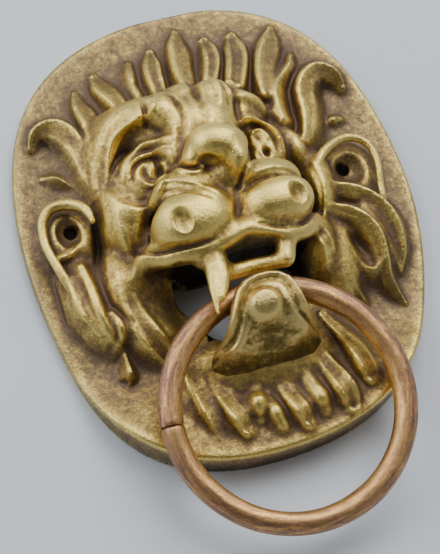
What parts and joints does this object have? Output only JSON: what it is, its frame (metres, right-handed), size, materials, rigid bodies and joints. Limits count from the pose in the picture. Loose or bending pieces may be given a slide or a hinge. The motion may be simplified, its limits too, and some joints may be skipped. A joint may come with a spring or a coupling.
{
  "type": "door knocker",
  "caption": "Cast brass lion-mask door knocker whose bent-rod ring hangs through the mouth behind the lower jaw and strikes the swept lower edge of the plate.",
  "frame": {"origin": "midway between the two fixing screw holes, on the plane of the door", "axes": "+Z points out of the door, +Y to the top of the lion's head, +X to the viewer's right; the knocker lies on its back on z = 0"},
  "size_m": [0.1376, 0.1996, 0.046],
  "materials": {
    "mask_brass": "aged cast brass, dark brown in the hollows and rubbed bright on the raised parts",
    "jaw_brass": "aged cast brass, smoother and more olive than the mask",
    "ring_bronze": "copper-brown patinated rod with drawn streaks"
  },
  "bodies": {
    "mask": {"lion_mask": "mask_brass", "lower_jaw": "jaw_brass"},
    "ring": {"ring": "ring_bronze"}
  },
  "joints": [
    {"name": "ring_swing", "type": "hinge", "parent": "mask", "child": "ring", "pos_m": [0.0022, -0.043, 0.0255], "axis": [-1, 0, 0], "range_deg": [0, 84]}
  ]
}
